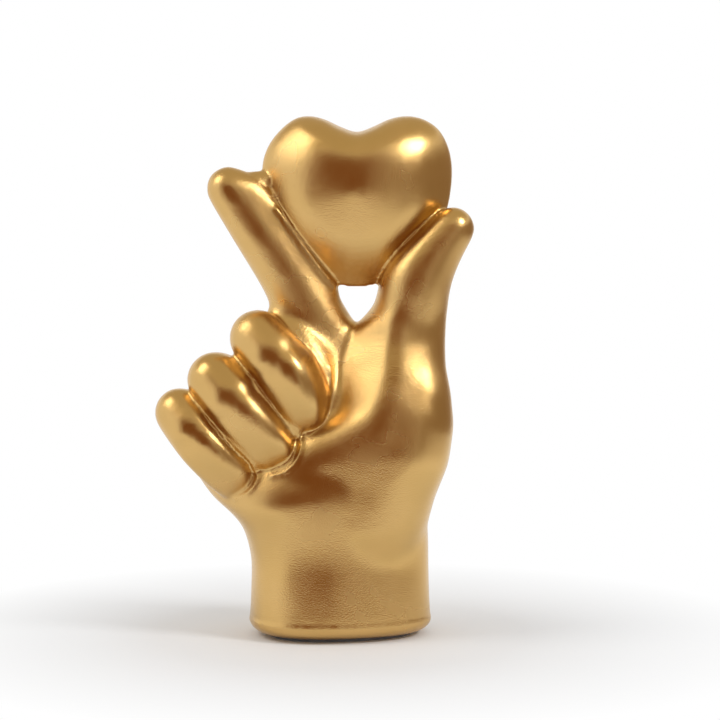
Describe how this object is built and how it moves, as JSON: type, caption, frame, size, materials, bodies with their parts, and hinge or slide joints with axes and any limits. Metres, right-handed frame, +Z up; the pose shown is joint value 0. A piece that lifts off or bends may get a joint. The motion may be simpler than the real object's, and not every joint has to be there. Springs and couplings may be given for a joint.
{
  "type": "hand sculpture",
  "caption": "Tabletop sculpture of an upright hand rising from its wrist, with folded fingers, holding a plump heart between the index finger and the thumb.",
  "frame": {"origin": "centre of the foot pad's underside, on the table", "axes": "+Z up; the palm faces -Y, towards the viewer; +X to the viewer's right, the thumb's side"},
  "size_m": [0.1175, 0.059, 0.1948],
  "materials": {
    "gold_paint": "satin",
    "pin_steel": "satin",
    "cast_resin": "matte",
    "ballast": "matte",
    "pad_foam": "matte"
  },
  "bodies": {
    "root": {"hand_shell": "gold_paint", "thumb": "gold_paint", "index_finger": "gold_paint", "middle_finger": "gold_paint", "ring_finger": "gold_paint", "little_finger": "gold_paint", "heart": "gold_paint", "index_pin": "pin_steel", "thumb_pin": "pin_steel", "heart_pin_left": "pin_steel", "heart_pin_right": "pin_steel", "base_plate": "cast_resin", "ballast_plug": "ballast", "base_pad": "pad_foam"}
  },
  "joints": []
}
